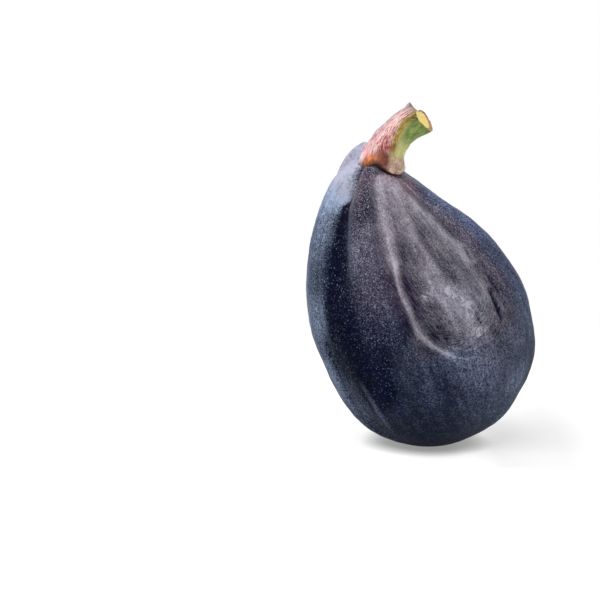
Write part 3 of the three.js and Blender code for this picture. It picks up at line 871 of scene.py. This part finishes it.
    height = n.plus(n.times(grain, 0.5), n.times(streaks, 0.5))
    height = n.plus(height, n.times(hairs, hairy))
    normal = n.bump(height, 0.00025, 0.5)
    shader = n.add("BsdfPrincipled", {
        "Base Color": colour,
        "Roughness": n.ramp(cover, 0, 0.8, 0.42, 0.6),
        "IOR": 1.42,
        "Specular IOR Level": 0.014,
        "Sheen Weight": n.ramp(powder, 0, 0.02, 0.015, 0.14),
        "Sheen Roughness": 0.3,
        "Sheen Tint": (0.55, 0.72, 1, 1),
        "Normal": normal,
    })
    return n.finish(shader.outputs[0])


def stem_material():
    n = Nodes(bpy.data.materials.new("fig_stem"))
    flow, twist = n.mask("flow", "Vector"), n.mask("twist", "Vector")
    fibres = n.noise(n.stretched(flow, (3.4, 3.4, 0.8)), 1, 4, 0.6)
    dashes = n.noise(n.stretched(twist, (3.8, 3.8, 1.1)), 1, 4, 0.65)
    lights = n.noise(n.stretched(twist, (3, 3, 1.4)), 1.3, 4, 0.65)
    mottle = n.noise(flow, 0.5, 4, 0.6)
    patches = n.noise(n.stretched(flow, (1, 1, 0.6)), 1.3, 5, 0.65)
    spots = n.noise(flow, 2.6, 4, 0.65)
    grain = n.noise(flow, 4.5, 3, 0.7)

    pink = n.tint((0.8, 0.36, 0.36), mottle, 0.42, 0.6, (0.97, 0.58, 0.54))
    pink = n.tint(pink, lights, 0.48, 0.57, (1, 0.87, 0.83))
    pink = n.tint(pink, dashes, 0.52, 0.6, (0.34, 0.055, 0.09), 0.95)
    green = n.mix(n.mask("depth"), (0.95, 0.94, 0.42), (0.3, 0.44, 0.1))
    green = n.tint(green, patches, 0.42, 0.6, (0.58, 0.63, 0.22), 0.6)
    green = n.tint(green, spots, 0.5, 0.65, (0.7, 0.72, 0.4), 0.3)
    shaded = n.times(n.ramp(mottle, 0.36, 0.6, to_high=0.75), n.mask("depth"))
    green = n.mix(shaded, green, (0.1, 0.17, 0.05))
    olive = n.tint((0.68, 0.46, 0.07), patches, 0.36, 0.56, (0.28, 0.14, 0.02))
    olive = n.tint(olive, dashes, 0.5, 0.61, (0.16, 0.07, 0.02), 0.75)
    tan = n.tint((0.9, 0.63, 0.5), mottle, 0.45, 0.55, (0.66, 0.52, 0.27))
    tan = n.tint(tan, patches, 0.48, 0.56, (0.4, 0.19, 0.11), 0.75)
    tan = n.tint(tan, spots, 0.5, 0.6, (1, 0.88, 0.74), 0.55)
    tan = n.tint(tan, grain, 0.55, 0.62, (0.24, 0.1, 0.07), 0.5)
    # the near-white of the left lobe is partly a painted highlight
    blush = n.tint((1, 0.93, 0.92), patches, 0.42, 0.56, (0.9, 0.35, 0.43))
    blush = n.tint(blush, dashes, 0.52, 0.62, (0.5, 0.07, 0.17), 0.8)
    ember = n.tint((0.74, 0.13, 0.055), patches, 0.42, 0.56, (1, 0.37, 0.13))
    ember = n.tint(ember, spots, 0.46, 0.55, (0.26, 0.06, 0.02), 0.7)
    dry = n.tint((0.14, 0.075, 0.075), fibres, 0.42, 0.6, (0.52, 0.39, 0.35))
    cortex = n.tint((0.26, 0.17, 0.08), patches, 0.4, 0.6, (0.72, 0.43, 0.26))
    pith = n.tint((1, 0.86, 0.34), mottle, 0.42, 0.58, (1, 0.72, 0.15))
    pith = n.tint(pith, spots, 0.54, 0.62, (0.84, 0.4, 0.1), 0.55)
    colour = n.mix(n.mask("green"), pink, green)
    for mask, amount, other in (
        ("ridge", 0.9, olive),
        ("foot", 1, tan),
        # painted shade down the stem's left edge
        ("mauve", n.ramp(lights, 0.3, 0.6, 0.8, 0.4), (0.3, 0.19, 0.23)),
        ("wine", n.ramp(dashes, 0.36, 0.52), (0.33, 0.035, 0.036)),
        ("brown", n.ramp(spots, 0.22, 0.42), (0.14, 0.045, 0.03)),
        ("blush", 1, blush),
        ("ember", 1, ember),
        ("rim", n.ramp(spots, 0.35, 0.55, to_low=0.3), (0.95, 0.84, 0.78)),
        # painted shadow under the collar's edge
        ("lip", n.ramp(patches, 0.2, 0.38), (0.03, 0.012, 0.01)),
        ("tip", n.ramp(mottle, 0.3, 0.5, to_low=0.6), dry),
        # painted shade below the cut end
        ("dusk", n.ramp(spots, 0.3, 0.5), (0.09, 0.07, 0.02)),
        ("cut", 1, cortex),
        ("pith", 1, pith),
    ):
        colour = n.mix(n.times(n.mask(mask), amount, clamp=True), colour, other)

    height = n.plus(n.times(fibres, 0.6), n.times(grain, 0.3))
    height = n.math("SUBTRACT", height, n.times(dashes, 0.6))
    shader = n.add("BsdfPrincipled", {
        "Base Color": colour,
        "Roughness": n.ramp(mottle, 0.35, 0.65, 0.45, 0.65),
        "IOR": 1.45,
        "Specular IOR Level": 0.16,
        "Normal": n.bump(height, 0.00012, 0.8),
    })
    return n.finish(shader.outputs[0])


def scale_material():
    n = Nodes(bpy.data.materials.new("ostiole_scale"))
    place = n.place()
    grain = n.noise(place, 2.2, 4, 0.6)
    fine = n.noise(place, 7, 3, 0.6)
    body = n.tint((0.16, 0.05, 0.04), grain, 0.38, 0.62, (0.42, 0.2, 0.1))
    body = n.tint(body, n.mask("shade"), 0, 1, (0.3, 0.1, 0.09), 0.4)
    colour = n.tint(body, n.mask("point"), 0.62, 0.98, (0.07, 0.035, 0.02))
    shader = n.add("BsdfPrincipled", {
        "Base Color": colour,
        "Roughness": n.ramp(grain, 0.35, 0.65, 0.55, 0.75),
        "Specular IOR Level": 0.3,
        "Normal": n.bump(fine, 0.0001, 0.6),
    })
    return n.finish(shader.outputs[0])


FLOOR_COLOUR = (0.8, 0.8, 0.8, 1)  # as light meets it
SEEN_COLOUR = (0.6, 0.6, 0.6, 1)  # as the camera sees it, under a glow that softens the shadow
LEFT_GLOW = 0.66
# How the glow changes from left to right, in metres: where each change starts and ends, and how large it is.
# Where it drops it paints the shadow darker, where it rises lighter.
GLOW_CHANGES = [
    (-0.016, -0.009, 0.09), (-0.004, 0.002, -0.04), (0.003, 0.009, 0.07), (0.009, 0.015, -0.15),
    (0.013, 0.029, -0.25), (0.032, 0.055, 0.14),
]
# painted shadow: the glow is lower in front of the fig's right
FRONT_PAINTED_SHADOW = 0.17  # how much less it glows in front of the fig's right
# painted contact shadow: the glow fades near the fig, down to CONTACT_GLOW where it touches the floor
CONTACT_REACH = 0.005  # how far from the fig the glow fades, in metres
CONTACT_GLOW = 0.4  # the share of the glow that is left where the fig touches the floor
SHADOW_END, WHITE_START = 0.06, 0.13  # the floor turns pure white between them, in metres from the fig


def floor_material():
    """White and matt, with the fig's shadow. To the camera the shadow is softer and partly painted, by a glow
    that changes from place to place and fades near the fig, and all else is pure white.
    """
    n = Nodes(bpy.data.materials.new("white_floor"))
    to_camera = n.seen()
    matt = n.out("BsdfDiffuse", {"Color": FLOOR_COLOUR})
    place = n.add("TexCoord").outputs["Object"]
    split = n.add("SeparateXYZ", {0: place}).outputs
    to_right, to_back = split["X"], split["Y"]
    glow = LEFT_GLOW
    for start, end, change in GLOW_CHANGES:
        glow = n.plus(glow, n.ramp(to_right, start, end, to_high=change))
    # painted shadow in front of the fig's right
    in_front = n.times(n.ramp(to_back, -0.019, -0.009, 1.0, 0.0), n.ramp(to_back, -0.031, -0.019))
    at_right = n.times(n.ramp(to_right, 0.002, 0.012), n.ramp(to_right, 0.016, 0.034, 1.0, 0.0))
    glow = n.math("SUBTRACT", glow, n.times(in_front, n.times(at_right, FRONT_PAINTED_SHADOW)))
    # painted contact shadow: the glow fades where the fig is near
    open_sky = n.add("AmbientOcclusion", {"Distance": CONTACT_REACH}, samples=16).outputs["AO"]
    glow = n.times(glow, n.ramp(open_sky, 0.2, 0.7, to_low=CONTACT_GLOW))
    glow = n.out("Emission", {"Strength": glow})
    seen = n.out("BsdfDiffuse", {"Color": SEEN_COLOUR})
    seen = n.out("AddShader", {0: seen, 1: glow})
    lit = n.out("MixShader", {0: to_camera, 1: matt, 2: seen})
    distance = n.add("VectorMath", {0: place}, operation="LENGTH").outputs["Value"]
    far = n.times(n.ramp(distance, SHADOW_END, WHITE_START), to_camera)
    white = n.out("Emission", {"Strength": 1.0})
    return n.finish(n.out("MixShader", {0: far, 1: lit, 2: white}))


FRONT_LIGHT = 0.07  # how strong the world's light is from the front, where it is 1 from behind


def studio_world():
    """White to the camera and in reflections. Its light comes mostly from behind."""
    n = Nodes(bpy.data.worlds.new("studio"))
    to_sky = n.add("SeparateXYZ", {0: n.add("TexCoord").outputs["Generated"]}).outputs
    light = n.ramp(to_sky["Y"], -0.3, 0.7, to_low=FRONT_LIGHT)
    strength = n.ramp(n.seen(), 0, 1, to_low=light)
    background = n.out("Background", {"Color": (1, 1, 1, 1), "Strength": strength})
    return n.finish(background, "OutputWorld")


# -------- putting the pieces together
grid, masks = build_skin()
leaned = stand(grid)
own_low, own_high = leaned.min((0, 1)), leaned.max((0, 1))
low, high = (np.array(corner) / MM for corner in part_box("fruit"))
move = (low + high - own_low - own_high) / 2
move[2] = -own_low[2] - REST_DEPTH
GROUND_EDGE = 0.2  # how softly the flat base turns up into the sides, in millimetres


def settle(points):
    """Leans points over with the fig and brings them into the model's frame, none below the ground."""
    placed = stand(points) + move
    z = placed[..., 2]
    placed[..., 2] = (z + np.sqrt(z * z + GROUND_EDGE**2)) / 2
    return placed * MM


def add_piece(name, surfaces, material, node):
    piece = ring_mesh(name, [(settle(grid), values) for grid, values in surfaces])
    piece.data.materials.append(material)
    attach(piece, "root")
    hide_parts(node)


add_piece("fig_skin", [(grid, masks)], skin_material(), "fruit")
add_piece("fig_stem", [build_stem()], stem_material(), "stem")
add_piece("fig_scales", build_scales(), scale_material(), "ostiole_scales")

# -------- floor, lights and camera
FLOOR_HALF = 3
KEY_AZIMUTH = -32  # from the camera's side, positive to the right
KEY_ELEVATION = 66
KEY_AIM = Vector((0, 0, 0.03))
KEY_DISTANCE = 1.0
KEY_SIZE = 1.0
KEY_RADIANCE = 3.7
LENS = 100  # in millimetres
SENSOR_WIDTH = 36
CAMERA_AIM = Vector((-24.6, 6.0, 28.7)) * MM  # left of the fig, which stands right of the middle
CAMERA_PITCH = 10
CAMERA_DISTANCE = 0.3463


def direction(azimuth, elevation):
    a, e = math.radians(azimuth), math.radians(elevation)
    return Vector((math.sin(a) * math.cos(e), -math.cos(a) * math.cos(e), math.sin(e)))


mesh = bpy.data.meshes.new("floor")
corners = [(x * FLOOR_HALF, y * FLOOR_HALF, 0) for x, y in ((-1, -1), (1, -1), (1, 1), (-1, 1))]
mesh.from_pydata(corners, [], [(0, 1, 2, 3)])
mesh.materials.append(floor_material())
place_in_scene("floor", mesh)

lamp = bpy.data.lights.new("key", "AREA")
lamp.shape = "SQUARE"
lamp.size = KEY_SIZE
lamp.energy = KEY_RADIANCE * math.pi * KEY_SIZE**2
key = place_in_scene("key", lamp)
out = direction(KEY_AZIMUTH, KEY_ELEVATION)
key.location = KEY_AIM + out * KEY_DISTANCE
key.rotation_euler = out.to_track_quat("Z", "Y").to_euler()
key.visible_camera = False

bpy.context.scene.world = studio_world()

camera_data = bpy.data.cameras.new("camera")
camera_data.lens = LENS
camera_data.sensor_width = SENSOR_WIDTH
camera = place_in_scene("camera", camera_data)
camera.location = CAMERA_AIM + CAMERA_DISTANCE * direction(0, CAMERA_PITCH)
camera.rotation_euler = (math.radians(90 - CAMERA_PITCH), 0, 0)
bpy.context.scene.camera = camera
bpy.context.scene.view_settings.view_transform = "Standard"
